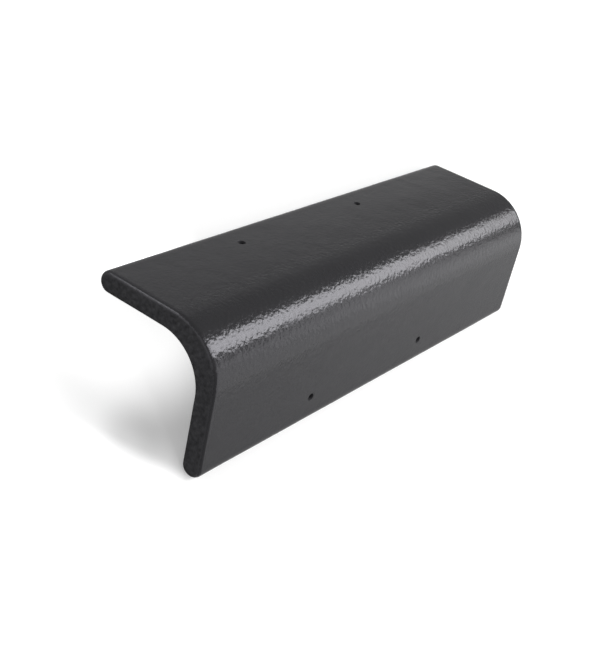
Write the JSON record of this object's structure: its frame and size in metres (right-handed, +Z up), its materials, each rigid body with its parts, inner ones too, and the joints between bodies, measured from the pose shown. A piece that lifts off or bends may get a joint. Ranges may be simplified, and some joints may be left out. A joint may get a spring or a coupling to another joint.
{
  "type": "ridge tile",
  "caption": "Angled concrete ridge tile with a rounded crown, flat wings and nail holes, covering the joint between two roof slopes.",
  "frame": {"origin": "on the ground under the middle of the tile, between its two long edges", "axes": "+X along the ridge from the near end to the far end, +Y across from the front wing to the back wing, +Z up"},
  "size_m": [0.45, 0.1596, 0.0739],
  "materials": {
    "concrete": "dark grey through-coloured concrete with a softly glossy coat, finely pebbled"
  },
  "bodies": {
    "root": {"ridge_tile": "concrete"}
  },
  "joints": []
}
